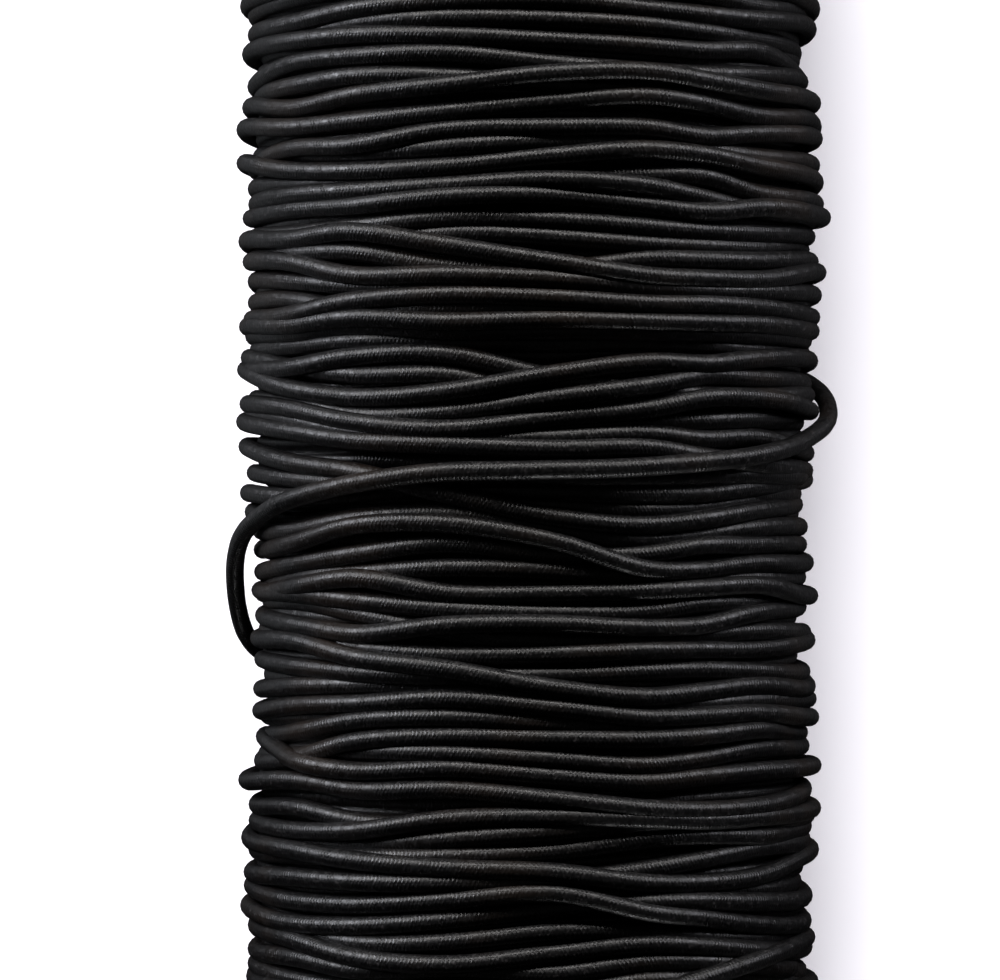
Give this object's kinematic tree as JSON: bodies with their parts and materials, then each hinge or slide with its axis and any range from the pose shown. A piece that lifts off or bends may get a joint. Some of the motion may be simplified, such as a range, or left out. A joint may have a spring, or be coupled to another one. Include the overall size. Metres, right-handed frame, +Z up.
{
  "type": "roll of elastic cord",
  "caption": "Roll of black round elastic cord, wound in uneven turns that cross each other, with one slack turn, lying on its side.",
  "frame": {"origin": "on the resting surface, under the middle of the roll", "axes": "+Z up from the resting surface, +Y along the roll's axis, +X across the roll"},
  "size_m": [0.0835, 0.1846, 0.0773],
  "materials": {
    "elastic_cord": "black braided textile cover over rubber, fine cross ribs, satin to matt"
  },
  "bodies": {
    "root": {"winding": "elastic_cord"}
  },
  "joints": []
}
